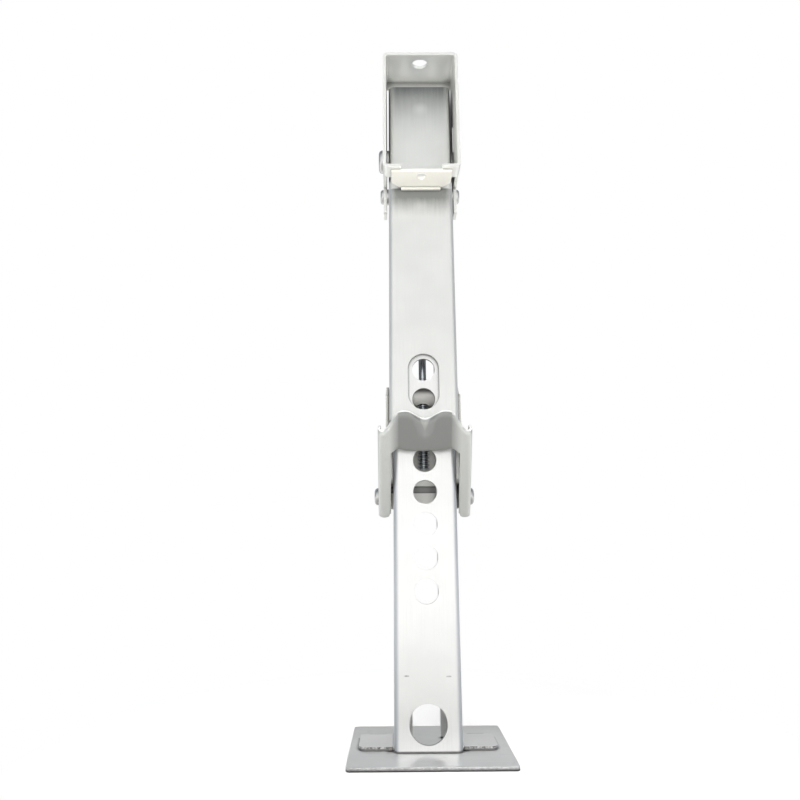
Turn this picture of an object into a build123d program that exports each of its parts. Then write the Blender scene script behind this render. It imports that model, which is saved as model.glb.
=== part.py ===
from build123d import *
from math import cos, radians, sin
import os

# A swing-down telescoping stabilizer jack of zinc-plated steel, standing on its foot plate.
# Millimetres. X runs across the jack, +Y away from the viewer, +Z up along the leg.
# The origin is on the ground, under the middle of the leg.

# Clearances
slide_gap = 0.55        # between a channel and what slides in or on it
pin_gap = 0.05          # radial, between a pin or a screw and its bore
face_gap = 0.1          # between flat faces that turn on each other

# Foot plate
plate_width = 120.0
plate_depth = 98.0
plate_thick = 3.0
plate_corner = 1.6
plate_shift = 1.3          # of the plate to the right and to the rear, against the leg

# Inner leg, a lipped channel with its slot at the back
leg_width = 50.8
leg_depth = 38.1
leg_wall = 2.5
leg_bend = 4.6
leg_slot = 22.0
leg_above_holes = 36.2
hole_dia = 19.05
hole_pitch = 25.4
hole_count = 8
first_hole = 116.0
latch_hole = 5          # counted from 0 at the lowest hole
drain_dia = 28.4
drain_height = 22.0
tab_reach = 26.5
tab_front = -12.7
tab_bend = 2.0
tab_relief = 3.0
tab_corner = 5.0
weld_leg = 3.0

# Outer channel
channel_wall = 2.6
channel_bend = 5.0
channel_lip = 9.0
channel_length = 367.0
web_above_latch = 7.5
tongue_above_pivot = 10.0
tongue_half = 12.0
tongue_corner = 5.0
window_width = 26.0
window_length = 48.0
window_above_web = 8.5

# Adjusting screw
thread_dia = 10.0
thread_pitch = 3.0
shank_dia = 6.4
thread_below_nut = 65.5
thread_above_nut = 13.0
head_flats = 19.05
head_height = 16.0
bearing_below_top = 19.0
bearing_thick = 4.0
bearing_corner = 3.0
washer_dia = 22.0
washer_thick = 2.0
collar_dia = 17.0
collar_height = 8.0
collar_pin_dia = 3.0

# Travelling nut and the carriage that it moves
nut_dia = 21.0
nut_length = 30.0
nut_above_pivot = 87.0
tongue_width = 16.0
tongue_height = 15.0
carriage_wall = 2.5
carriage_bend = 4.0
carriage_front = -9.0
carriage_step = -1.0
carriage_above_nut = 9.5
slot_above_pivot = 4.5
slot_height = 6.0
strap_sheet = 2.0
strap_overlap = 5.0
bolt_dia = 8.0
bolt_flats = 13.0
bolt_head = 5.3
bolt_washer_dia = 16.0
bolt_washer_thick = 1.6
bolt_depth = 9.0

# Latch lever, a pressed sheet that leans towards the viewer at its top
pivot_below_latch = 53.0
lever_lean = 27.0
lever_sheet = 2.3
lever_spring_room = 3.6
lever_wall_depth = -6.8
wing_width = 7.0
lever_wall_low = 41.6
lever_hump = 75.0
lever_hump_at = 15.6
lever_dip = 68.0
lever_ear = 60.0
band_width = 8.8
band_depth = -12.0
band_low = -13.0
lever_boss = 13.0
bead_half = 11.0
bead_depth = 3.2
bead_fade = 55.0
dog_dia = 14.0
dog_tip = -19.9
latch_angle = 5.0
rivet_dia = 8.0
rivet_head_dia = 14.0
rivet_head = 3.3
spacer_dia = 13.0
spring_wire = 1.0
spring_turns = 1.5
spring_pitch = 1.1
spring_ease = 1.2
spring_leg = 13.0

# Mounting bracket
bracket_wall = 2.8
bracket_gap = 2.0
bracket_bend = 4.4
bracket_front = -51.0
web_above_pivot = 73.0
bracket_web_slope = 11.0
bracket_web_back = -4.4
bracket_lip = 7.0
bracket_back = 18.0
shoulder_above_pivot = 42.0
flange_below_pivot = 39.0
flange_back = -35.4
flange_reach = 13.05
ear_front = -9.0
ear_below_guide = 20.0
ear_above_guide = 10.0
ear_taper = 12.0
ear_corner = 3.0
bracket_corner = 8.0
ear_half_low = 7.0
mount_hole_dia = 14.3
mount_hole_at = -37.0

# Pivot, guide rivets and stop
pivot_below_top = 64.0
pivot_dia = 12.0
pivot_head_dia = 20.6
pivot_head = 4.6
pivot_inner_dia = 17.0
pivot_inner_head = 2.4
pivot_washer_dia = 20.0
guide_below_pivot = 37.0
guide_dia = 7.0
guide_head_dia = 13.0
guide_head = 3.0
guide_washer_dia = 14.0
stop_sheet = 2.5
stop_front = -47.6
stop_lip = 2.4
stop_inset = 2.5
stop_corner = 8.0
stop_hole_dia = 8.2
stop_hole_at = -40.3
shim_sheet = 1.0
shim_front = -21.5
shim_back = -11.0
shim_below_pivot = 4.5
shim_height = 25.5
trim_room = 30.0        # spare length of a shape that an outline trims

# Heights that follow from the ones above
leg_holes = [first_hole + hole_pitch * step for step in range(hole_count)]
leg_top = leg_holes[-1] + leg_above_holes
lever_pivot = leg_holes[latch_hole] - pivot_below_latch
nut_height = lever_pivot + nut_above_pivot
tongue_bottom = lever_pivot + tongue_above_pivot
web_bottom = leg_holes[latch_hole] + web_above_latch
window_bottom = web_bottom + window_above_web
window_top = window_bottom + window_length
channel_top = tongue_bottom + channel_length
bearing_height = channel_top - bearing_below_top
pivot_height = channel_top - pivot_below_top
screw_end = nut_height - thread_below_nut
thread_top = nut_height + thread_above_nut
carriage_shoulder = nut_height + carriage_step
carriage_top = nut_height + carriage_above_nut
slot_low = lever_pivot + slot_above_pivot
slot_high = slot_low + slot_height
bracket_web_front = pivot_height + web_above_pivot
bracket_shoulder = pivot_height + shoulder_above_pivot
flange_height = pivot_height - flange_below_pivot
guide_height = pivot_height - guide_below_pivot
ear_bottom = guide_height - ear_below_guide
shim_low = pivot_height - shim_below_pivot
shim_high = shim_low + shim_height

# Widths and depths that follow from the ones above
leg_front = -leg_depth / 2
channel_width = leg_width + 2 * (slide_gap + channel_wall)
channel_depth = leg_depth + 2 * (slide_gap + channel_wall)
channel_side = channel_width / 2
channel_front = -channel_depth / 2
carriage_inner = channel_side + slide_gap
carriage_side = carriage_inner + carriage_wall
carriage_inside_back = channel_depth / 2 + slide_gap
carriage_back = carriage_inside_back + carriage_wall
lever_side_inner = carriage_side + lever_spring_room
lever_half = lever_side_inner + lever_sheet
band_inner = lever_half - band_width
lever_wall_half = band_inner - wing_width
bracket_inner = channel_side + bracket_gap
bracket_side = bracket_inner + bracket_wall
flange_inner = bracket_inner - flange_reach
flange_top = flange_height + bracket_wall
stop_low = flange_height - stop_sheet
head_seat = bearing_height + bearing_thick + washer_thick
lean_sin = sin(radians(lever_lean))
lean_cos = cos(radians(lever_lean))
lever_top = lever_hump + 5.0

os.makedirs("parts", exist_ok=True)


def save(piece, name):
    piece.label = name
    export_step(piece, f"parts/{name}.step")


def side_plane(side, x, y, z):
    """A plane square to X whose normal points out of the jack's left (-1) or right (+1) side."""
    return Plane(origin=(side * x, y, z), x_dir=(0, side, 0), z_dir=(side, 0, 0))


def lever_point(along, across):
    """Y and Z of a point given along the lever's lean and across it, from the lever's pivot."""
    return (across * lean_cos - along * lean_sin, lever_pivot + along * lean_cos + across * lean_sin)


def lever_section_plane(along):
    """The plane square to the lever's lean, a given way up the lever."""
    y, z = lever_point(along, 0)
    return Plane(origin=(0, y, z), x_dir=(1, 0, 0), z_dir=(0, -lean_sin, lean_cos))


# Foot plate
with BuildPart() as foot_plate:
    with BuildSketch():
        with Locations((plate_shift, plate_shift)):
            Rectangle(plate_width, plate_depth)
    extrude(amount=plate_thick)
    chamfer(foot_plate.edges().filter_by(Axis.Z), plate_corner)
save(foot_plate.part, "foot_plate")

# Inner leg: lipped channel, holes at one pitch, and side walls turned out at the foot
tab_top = plate_thick + leg_wall
tab_bend_top = tab_top + tab_bend
with BuildPart() as inner_leg:
    with BuildSketch(Plane.XY.offset(plate_thick)):
        RectangleRounded(leg_width, leg_depth, leg_bend)
        RectangleRounded(leg_width - 2 * leg_wall, leg_depth - 2 * leg_wall, leg_bend - leg_wall,
                         mode=Mode.SUBTRACT)
        with Locations((0, leg_depth / 2)):
            Rectangle(leg_slot, 4 * leg_wall, mode=Mode.SUBTRACT)
    extrude(amount=leg_top - plate_thick)
    # the row of holes and the large one near the foot, through the front web
    with BuildSketch(Plane.XZ.offset(-leg_front)):
        with Locations([(0, z) for z in leg_holes]):
            Circle(hole_dia / 2)
        with Locations((0, drain_height)):
            Circle(drain_dia / 2)
    extrude(amount=-2 * leg_wall, mode=Mode.SUBTRACT)
    # the side walls are slit free of the front web and cut off above their bends
    with BuildSketch(Plane.XY.offset(plate_thick)):
        with Locations((leg_width - leg_bend, (tab_front - tab_relief + leg_depth) / 2)):
            Rectangle(leg_width, leg_depth - tab_front + tab_relief)
        mirror(about=Plane.YZ)
    extrude(amount=tab_bend_top - plate_thick, mode=Mode.SUBTRACT)
    # each tab: down the wall, round the bend and out along the plate
    with BuildSketch(Plane.XZ.offset(-tab_front)) as tab:
        with BuildLine():
            Polyline((leg_width / 2 - leg_wall, tab_bend_top + leg_wall),
                     (leg_width / 2 - leg_wall, plate_thick),
                     (leg_width / 2 + tab_reach, plate_thick),
                     (leg_width / 2 + tab_reach, tab_top),
                     (leg_width / 2, tab_top),
                     (leg_width / 2, tab_bend_top + leg_wall), close=True)
        make_face()
        fillet(tab.vertices().group_by(Axis.Y)[0].sort_by(Axis.X)[0], tab_bend + leg_wall)
        fillet(tab.vertices().filter_by_position(Axis.X, leg_width / 2 - 0.1, leg_width / 2 + 0.1)
               .sort_by(Axis.Y)[0], tab_bend)
        mirror(about=Plane.YZ)
    extrude(amount=tab_front - leg_depth / 2)
    tab_ends = inner_leg.edges().filter_by(Axis.Z).group_by(Axis.X)
    fillet([tab_ends[0].sort_by(Axis.Y)[0], tab_ends[-1].sort_by(Axis.Y)[0]], tab_corner)
save(inner_leg.part, "inner_leg")

# Weld beads that hold the tabs to the foot plate, along their back edges
with BuildPart() as foot_welds:
    with BuildSketch(Plane.YZ.offset(leg_width / 2 + tab_bend + leg_wall)):
        with BuildLine():
            Polyline((leg_depth / 2, plate_thick), (leg_depth / 2 + weld_leg, plate_thick),
                     (leg_depth / 2, tab_top), close=True)
        make_face()
    extrude(amount=tab_reach - tab_bend - leg_wall - tab_corner)
    mirror(about=Plane.YZ)
save(foot_welds.part, "foot_welds")

# Outer channel: window in its web, web cut short for the latch, side walls run on as guides
with BuildPart() as outer_channel:
    with BuildSketch(Plane.XY.offset(tongue_bottom)):
        RectangleRounded(channel_width, channel_depth, channel_bend)
        RectangleRounded(channel_width - 2 * channel_wall, channel_depth - 2 * channel_wall,
                         channel_bend - channel_wall, mode=Mode.SUBTRACT)
        with Locations((0, channel_depth / 2)):
            Rectangle(channel_width - 2 * channel_wall - 2 * channel_lip, 4 * channel_wall,
                      mode=Mode.SUBTRACT)
    extrude(amount=channel_top - tongue_bottom)
    with BuildSketch(Plane.XZ.offset(-channel_front)):
        with Locations((0, (window_top + window_bottom) / 2)):
            SlotOverall(window_top - window_bottom, window_width, rotation=90)
    extrude(amount=-2 * channel_wall, mode=Mode.SUBTRACT)
    with BuildSketch(Plane.XY.offset(tongue_bottom)):
        with GridLocations(0, channel_depth + 2 * tongue_half, 1, 2):
            Rectangle(2 * channel_width, channel_depth)
    extrude(amount=web_bottom - tongue_bottom, mode=Mode.SUBTRACT)
    tongue_ends = outer_channel.edges().filter_by(Axis.X).group_by(Axis.Z)[0]
    fillet(tongue_ends, tongue_corner)
    with BuildSketch(Plane.YZ.offset(-channel_width)):
        with Locations((0, pivot_height)):
            Circle(pivot_dia / 2)
    extrude(amount=2 * channel_width, mode=Mode.SUBTRACT)
save(outer_channel.part, "outer_channel")

# Bearing plate welded across the channel near its top
with BuildPart() as bearing_plate:
    with BuildSketch(Plane.XY.offset(bearing_height)):
        Rectangle(channel_width - 2 * channel_wall, channel_depth - 2 * channel_wall)
    extrude(amount=bearing_thick)
    chamfer(bearing_plate.edges().filter_by(Axis.Z), bearing_corner)
    with BuildSketch(Plane.XY.offset(bearing_height)):
        Circle(shank_dia / 2 + pin_gap)
    extrude(amount=bearing_thick, mode=Mode.SUBTRACT)
save(bearing_plate.part, "bearing_plate")

# Thrust washer between the bearing plate and the screw's head
with BuildPart() as thrust_washer:
    with BuildSketch(Plane.XY.offset(bearing_height + bearing_thick)):
        Circle(washer_dia / 2)
        Circle(shank_dia / 2 + pin_gap, mode=Mode.SUBTRACT)
    extrude(amount=washer_thick)
save(thrust_washer.part, "thrust_washer")

# Adjusting screw: hexagon head, plain shank, threaded lower part with a rounded end
collar_top = bearing_height - face_gap
collar_middle = collar_top - collar_height / 2
with BuildPart() as adjusting_screw:
    with BuildSketch(Plane.XY.offset(head_seat)):
        RegularPolygon(head_flats / 2, 6, major_radius=False)
    extrude(amount=head_height)
    chamfer(adjusting_screw.faces().sort_by(Axis.Z)[-1].edges(), 1.2)
    with BuildSketch(Plane.XY.offset(thread_top)):
        Circle(shank_dia / 2)
    extrude(amount=head_seat - thread_top)
    with BuildSketch(Plane.XY.offset(screw_end)):
        Circle(thread_dia / 2)
    extrude(amount=thread_top - screw_end)
    fillet(adjusting_screw.edges().filter_by(GeomType.CIRCLE).group_by(Axis.Z)[0], thread_dia / 2 - 1.5)
    with BuildSketch(Plane.YZ.offset(-shank_dia)):
        with Locations((0, collar_middle)):
            Circle(collar_pin_dia / 2)
    extrude(amount=2 * shank_dia, mode=Mode.SUBTRACT)
save(adjusting_screw.part, "adjusting_screw")

# Collar under the bearing plate, cross-pinned to the shank
with BuildPart() as screw_collar:
    with BuildSketch(Plane.XY.offset(collar_top)):
        Circle(collar_dia / 2)
        Circle(shank_dia / 2, mode=Mode.SUBTRACT)
    extrude(amount=-collar_height)
    with BuildSketch(Plane.YZ.offset(-collar_dia)):
        with Locations((0, collar_middle)):
            Circle(collar_pin_dia / 2)
    extrude(amount=2 * collar_dia, mode=Mode.SUBTRACT)
save(screw_collar.part, "screw_collar")

with BuildPart() as collar_pin:
    with BuildSketch(Plane.YZ.offset(-collar_dia / 2)):
        with Locations((0, collar_middle)):
            Circle(collar_pin_dia / 2)
    extrude(amount=collar_dia)
save(collar_pin.part, "collar_pin")

# Travelling nut: a barrel across the leg with a tongue out through the leg's slot
with BuildPart() as travelling_nut:
    with BuildSketch(Plane.YZ.offset(-nut_length / 2)):
        with Locations((0, nut_height)):
            Circle(nut_dia / 2)
    extrude(amount=nut_length)
    chamfer(travelling_nut.edges().filter_by(GeomType.CIRCLE), 1.0)
    with BuildSketch(Plane.XZ.offset(0)):
        with Locations((0, nut_height)):
            Rectangle(tongue_width, tongue_height)
    extrude(amount=-carriage_inside_back)
    with BuildSketch(Plane.XY.offset(nut_height - nut_dia)):
        Circle(thread_dia / 2 + pin_gap)
    extrude(amount=2 * nut_dia, mode=Mode.SUBTRACT)
    with BuildSketch(Plane.XZ.offset(-carriage_inside_back)):
        with Locations((0, nut_height)):
            Circle(bolt_dia / 2)
    extrude(amount=bolt_depth, mode=Mode.SUBTRACT)
save(travelling_nut.part, "travelling_nut")

# Carriage: a folded channel behind the outer channel, guided on its outside
carriage_bottom = lever_pivot + carriage_front
with BuildPart() as lock_carriage:
    with BuildSketch(Plane.XY.offset(carriage_bottom)):
        with Locations((0, 0)):
            RectangleRounded(2 * carriage_side, 2 * carriage_back, carriage_bend)
            RectangleRounded(2 * carriage_inner, 2 * carriage_inside_back, carriage_bend - carriage_wall,
                             mode=Mode.SUBTRACT)
    extrude(amount=carriage_top - carriage_bottom)
    # the side walls, as seen from the side: round under the lever's pivot, stepped at the top
    with BuildSketch(Plane.YZ) as carriage_outline:
        with BuildLine():
            CenterArc((0, lever_pivot), -carriage_front, 180, 90)
            Polyline((0, carriage_bottom), (carriage_back, carriage_bottom), (carriage_back, carriage_top),
                     (tongue_half, carriage_top), (0, carriage_shoulder),
                     (carriage_front, carriage_shoulder), (carriage_front, lever_pivot))
        make_face()
        fillet(carriage_outline.vertices().group_by(Axis.X)[0].sort_by(Axis.Y)[-1], -carriage_front / 2)
    extrude(amount=channel_width, both=True, mode=Mode.INTERSECT)
    # the gap above the lower strap, the rivet holes and the hole for the nut's bolt
    with BuildSketch(Plane.XZ.offset(-carriage_inside_back)):
        with Locations((0, (slot_low + slot_high) / 2)):
            Rectangle(2 * channel_side, slot_high - slot_low)
        with Locations((0, nut_height)):
            Circle(bolt_dia / 2 + 2 * pin_gap)
    extrude(amount=-2 * carriage_wall, mode=Mode.SUBTRACT)
    with BuildSketch(Plane.YZ.offset(-channel_width)):
        with Locations((0, lever_pivot)):
            Circle(rivet_dia / 2)
    extrude(amount=2 * channel_width, mode=Mode.SUBTRACT)
save(lock_carriage.part, "lock_carriage")

# Strap welded behind the gap in the carriage's rear wall
with BuildPart() as carriage_strap:
    with BuildSketch(Plane.XZ.offset(-carriage_back)):
        with Locations((0, (slot_low + slot_high) / 2)):
            RectangleRounded(2 * channel_side, slot_height + 2 * strap_overlap, strap_overlap / 2)
    extrude(amount=-strap_sheet)
save(carriage_strap.part, "carriage_strap")

# Bolt and washer that hold the nut's tongue to the carriage
with BuildPart() as nut_bolt:
    with BuildSketch(Plane.XZ.offset(-carriage_back - bolt_washer_thick)):
        with Locations((0, nut_height)):
            RegularPolygon(bolt_flats / 2, 6, major_radius=False)
    extrude(amount=-bolt_head)
    chamfer(nut_bolt.faces().sort_by(Axis.Y)[-1].edges(), 0.8)
    with BuildSketch(Plane.XZ.offset(-carriage_back - bolt_washer_thick)):
        with Locations((0, nut_height)):
            Circle(bolt_dia / 2)
    extrude(amount=bolt_washer_thick + carriage_wall + bolt_depth)
save(nut_bolt.part, "nut_bolt")

with BuildPart() as nut_bolt_washer:
    with BuildSketch(Plane.XZ.offset(-carriage_back)):
        with Locations((0, nut_height)):
            Circle(bolt_washer_dia / 2)
            Circle(bolt_dia / 2, mode=Mode.SUBTRACT)
    extrude(amount=-bolt_washer_thick)
save(nut_bolt_washer.part, "nut_bolt_washer")

# Latch lever: one pressed sheet with two humps, a fading bead between them and two arms
with BuildPart() as latch_lever:
    with BuildSketch(lever_section_plane(band_low)) as lever_section:
        with BuildLine() as lever_line:
            Polyline((-lever_half + lever_sheet / 2, lever_boss), (-lever_half + lever_sheet / 2, band_depth),
                     (-band_inner, band_depth), (-lever_wall_half, lever_wall_depth),
                     (lever_wall_half, lever_wall_depth), (band_inner, band_depth),
                     (lever_half - lever_sheet / 2, band_depth), (lever_half - lever_sheet / 2, lever_boss))
            fillet(lever_line.vertices(), 2.5)
        trace(lines=lever_line.line, line_width=lever_sheet)
    extrude(amount=lever_top - band_low)
    # the bead: a wedge pressed back out of the front wall, added behind and cut in front
    for depth, mode in ((lever_wall_depth + lever_sheet / 2, Mode.ADD),
                        (lever_wall_depth - lever_sheet / 2, Mode.SUBTRACT)):
        with BuildSketch(lever_section_plane(lever_top)):
            Polygon((-bead_half, depth), (bead_half, depth), (0, depth + bead_depth), align=None)
        with BuildSketch(lever_section_plane(bead_fade)):
            Polygon((-bead_half / 2, depth), (bead_half / 2, depth), (0, depth + 0.05), align=None)
        loft(mode=mode)
    # outline seen from the front: humps, dip and ears at the top, arms with round ends below
    pivot_y, pivot_z = lever_point(0, 0)
    face_plane = Plane(origin=(0, pivot_y, pivot_z), x_dir=(1, 0, 0), z_dir=(0, -lean_cos, -lean_sin))
    with BuildSketch(face_plane) as lever_outline:
        with BuildLine():
            Spline((0, lever_dip), (lever_hump_at, lever_hump), (lever_wall_half, lever_hump - 1.4),
                   (band_inner, lever_ear + 3.8), (lever_half - band_width / 2, lever_ear),
                   (lever_half + 1.0, lever_ear + 2.6), tangents=[(1, 0), (1, 0.6)])
            Polyline((lever_half + 1.0, lever_ear + 2.6), (lever_half + 1.0, band_low),
                     (band_inner, band_low), (band_inner, lever_wall_low - 1.7),
                     (lever_wall_half, lever_wall_low), (0, lever_wall_low), (0, lever_dip))
        make_face()
        low = lever_outline.vertices().group_by(Axis.Y)[0]
        fillet(low, (lever_half + 1.0 - band_inner) / 2 - 0.3)
        mirror(about=Plane.YZ)
    extrude(amount=3 * lever_half, both=True, mode=Mode.INTERSECT)
    # outline seen from the side: round under the pivot, tapering to the ear
    side_view = Plane(origin=(0, pivot_y, pivot_z), x_dir=(0, lean_cos, lean_sin), z_dir=(1, 0, 0))
    with BuildSketch(side_view):
        with BuildLine():
            CenterArc((0, 0), lever_boss, -90, 90)
            Polyline((lever_boss, 0), (0, lever_ear + 3.0), (0, lever_top), (-2 * lever_boss, lever_top),
                     (-2 * lever_boss, band_low), (0, -lever_boss))
        make_face()
    extrude(amount=2 * lever_half, both=True, mode=Mode.INTERSECT)
    with BuildSketch(Plane.YZ.offset(-2 * lever_half)):
        with Locations((0, lever_pivot)):
            Circle(rivet_dia / 2 + pin_gap)
    extrude(amount=4 * lever_half, mode=Mode.SUBTRACT)
save(latch_lever.part, "latch_lever")

# Latch dog: a stud welded behind the lever's front wall; in the latched pose it lies level in a hole
dog_reach = -dog_tip
dog_z = lever_pivot + pivot_below_latch * cos(radians(latch_angle)) \
    - dog_reach * sin(radians(latch_angle))
with BuildPart() as latch_dog:
    dog_plane = Plane(origin=(0, dog_tip, dog_z), x_dir=(1, 0, 0),
                      z_dir=(0, cos(radians(latch_angle)), sin(radians(latch_angle))))
    with BuildSketch(dog_plane):
        Circle(dog_dia / 2)
    extrude(amount=-dog_reach)
    chamfer(latch_dog.faces().sort_by(Axis.Y)[-1].edges(), 1.5)
    wall_y, wall_z = lever_point(0, lever_wall_depth + lever_sheet / 2)
    split(bisect_by=Plane(origin=(0, wall_y, wall_z), z_dir=(0, lean_cos, lean_sin)), keep=Keep.TOP)
    add(latch_lever.part, mode=Mode.SUBTRACT)
save(latch_dog.part, "latch_dog")

# Lever pivots: a rivet, a spacer and a torsion spring on each side
for side, hand in ((-1, "left"), (1, "right")):
    with BuildPart() as lever_rivet:
        with BuildSketch(side_plane(side, carriage_inner, 0, lever_pivot)):
            Circle(rivet_dia / 2)
        extrude(amount=lever_half + face_gap - carriage_inner)
        with BuildSketch(side_plane(side, lever_half + face_gap, 0, lever_pivot)):
            Circle(rivet_head_dia / 2)
        extrude(amount=rivet_head)
        rim = lever_rivet.edges().filter_by(GeomType.CIRCLE).sort_by(Axis.X)[-1 if side > 0 else 0]
        fillet(rim, rivet_head - 0.6)
    save(lever_rivet.part, f"lever_rivet_{hand}")

    with BuildPart() as lever_spacer:
        with BuildSketch(side_plane(side, carriage_side, 0, lever_pivot)):
            Circle(spacer_dia / 2)
            Circle(rivet_dia / 2, mode=Mode.SUBTRACT)
        extrude(amount=lever_side_inner - face_gap - carriage_side)
    save(lever_spacer.part, f"lever_spacer_{hand}")

    # one and a half turns about the spacer, with an end resting on the lever and one on the carriage
    coil_radius = (spacer_dia + spring_wire) / 2 + spring_ease
    coil_length = spring_turns * spring_pitch
    coil_middle = (carriage_side + lever_side_inner) / 2
    with BuildPart() as lever_spring:
        with BuildLine() as wire:
            coil = Helix(spring_pitch, coil_length, coil_radius,
                         center=(side * (coil_middle - coil_length / 2), 0, lever_pivot),
                         direction=(side, 0, 0))
            Line(coil @ 0, coil @ 0 - (coil % 0) * spring_leg)
            Line(coil @ 1, coil @ 1 + (coil % 1) * spring_leg)
        with BuildSketch(Plane(origin=wire.wire() @ 0, z_dir=wire.wire() % 0)):
            Circle(spring_wire / 2)
        sweep(path=wire.wire())
    save(lever_spring.part, f"lever_spring_{hand}")

# Screw bearing and swing pivot
for side, hand in ((-1, "left"), (1, "right")):
    inner_face = channel_side - channel_wall
    with BuildPart() as pivot_rivet:
        with BuildSketch(side_plane(side, inner_face, 0, pivot_height)):
            Circle(pivot_dia / 2)
        extrude(amount=bracket_side + face_gap - inner_face)
        with BuildSketch(side_plane(side, inner_face, 0, pivot_height)):
            Circle(pivot_inner_dia / 2)
        extrude(amount=-pivot_inner_head)
        with BuildSketch(side_plane(side, bracket_side + face_gap, 0, pivot_height)):
            Circle(pivot_head_dia / 2)
        extrude(amount=pivot_head)
        rims = pivot_rivet.edges().filter_by(GeomType.CIRCLE).sort_by(Axis.X)
        fillet(rims[-1 if side > 0 else 0], pivot_head - 1.2)
        fillet(rims[0 if side > 0 else -1], pivot_inner_head / 2)
    save(pivot_rivet.part, f"pivot_rivet_{hand}")

    with BuildPart() as pivot_washer:
        with BuildSketch(side_plane(side, channel_side, 0, pivot_height)):
            Circle(pivot_washer_dia / 2)
            Circle(pivot_dia / 2, mode=Mode.SUBTRACT)
        extrude(amount=bracket_gap - face_gap)
    save(pivot_washer.part, f"pivot_washer_{hand}")

    with BuildPart() as guide_rivet:
        with BuildSketch(side_plane(side, channel_side + 3 * face_gap, 0, guide_height)):
            Circle(guide_dia / 2)
        extrude(amount=bracket_side - channel_side - 3 * face_gap)
        with BuildSketch(side_plane(side, bracket_side, 0, guide_height)):
            Circle(guide_head_dia / 2)
        extrude(amount=guide_head)
        rim = guide_rivet.edges().filter_by(GeomType.CIRCLE).sort_by(Axis.X)[-1 if side > 0 else 0]
        fillet(rim, guide_head - 0.6)
    save(guide_rivet.part, f"guide_rivet_{hand}")

    with BuildPart() as guide_washer:
        with BuildSketch(side_plane(side, channel_side + 3 * face_gap, 0, guide_height)):
            Circle(guide_washer_dia / 2)
            Circle(guide_dia / 2, mode=Mode.SUBTRACT)
        extrude(amount=bracket_gap - 3 * face_gap)
    save(guide_washer.part, f"guide_washer_{hand}")

# Mounting bracket: sloping web, side walls with ears below, and flanges turned in at the front
slope_sin = sin(radians(bracket_web_slope))
slope_cos = cos(radians(bracket_web_slope))
web_low_back = bracket_web_front + (bracket_web_back - bracket_front) * slope_sin / slope_cos
bracket_tall = bracket_web_front - ear_bottom + 2 * trim_room
web_run = bracket_back - bracket_front
with BuildPart() as mounting_bracket:
    web_plane = Plane(origin=(0, bracket_front, bracket_web_front), x_dir=(1, 0, 0),
                      z_dir=(0, slope_cos, slope_sin)).offset(-web_run)
    with BuildSketch(web_plane):
        with Locations((0, bracket_tall / 2 - bracket_wall)):
            RectangleRounded(2 * bracket_side, bracket_tall, bracket_bend)
        with Locations((0, bracket_tall / 2)):
            RectangleRounded(2 * bracket_inner, bracket_tall, bracket_bend - bracket_wall, mode=Mode.SUBTRACT)
    extrude(amount=3 * web_run)
    relief = flange_height + bracket_bend + 1.6
    with BuildSketch(Plane.YZ) as bracket_outline:
        with BuildLine():
            Polyline((bracket_front, flange_height + bracket_bend),
                     (bracket_front, bracket_web_front + trim_room),
                     (bracket_web_back, bracket_web_front + trim_room),
                     (bracket_web_back, web_low_back + bracket_wall),
                     (bracket_back, bracket_shoulder), (bracket_back, guide_height + ear_above_guide),
                     (ear_half_low, ear_bottom), (-ear_half_low, ear_bottom), (ear_front, ear_bottom + ear_taper),
                     (ear_front, relief), (flange_back, relief),
                     (flange_back, flange_height + bracket_bend), close=True)
        make_face()
        fillet(bracket_outline.vertices().group_by(Axis.Y)[0], ear_corner)
        fillet(bracket_outline.vertices().group_by(Axis.X)[-1], bracket_corner)
    extrude(amount=2 * bracket_side, both=True, mode=Mode.INTERSECT)
    # flanges turned in above the stop plate
    with BuildSketch(Plane.XZ.offset(-bracket_front)) as flange:
        with BuildLine():
            Polyline((bracket_side, relief), (bracket_side, flange_height), (flange_inner, flange_height),
                     (flange_inner, flange_top), (bracket_inner, flange_top), (bracket_inner, relief),
                     close=True)
        make_face()
        fillet(flange.vertices().group_by(Axis.Y)[0].sort_by(Axis.X)[-1], bracket_bend)
        fillet(flange.vertices().filter_by_position(Axis.Y, flange_top - 0.1, flange_top + 0.1)
               .sort_by(Axis.X)[-1], bracket_bend - bracket_wall)
        mirror(about=Plane.YZ)
    extrude(amount=bracket_front - flange_back)
    # stiffening lip turned down at the back of the web
    with BuildSketch(Plane.XZ.offset(-bracket_web_back)):
        with Locations((0, web_low_back - bracket_lip / 2 + bracket_wall / 2)):
            Rectangle(2 * bracket_inner, bracket_lip + bracket_wall)
    extrude(amount=bracket_wall)
    # bolt hole square to the web, pivot holes and guide rivet holes
    hole_rise = bracket_web_front + (mount_hole_at - bracket_front) * slope_sin / slope_cos
    with BuildSketch(Plane(origin=(0, mount_hole_at, hole_rise), x_dir=(1, 0, 0),
                           z_dir=(0, -slope_sin, slope_cos))):
        Circle(mount_hole_dia / 2)
    extrude(amount=3 * bracket_wall, both=True, mode=Mode.SUBTRACT)
    with BuildSketch(Plane.YZ.offset(-2 * bracket_side)):
        with Locations((0, pivot_height)):
            Circle(pivot_dia / 2 + pin_gap)
        with Locations((0, guide_height)):
            Circle(guide_dia / 2)
    extrude(amount=4 * bracket_side, mode=Mode.SUBTRACT)
save(mounting_bracket.part, "mounting_bracket")

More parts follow.
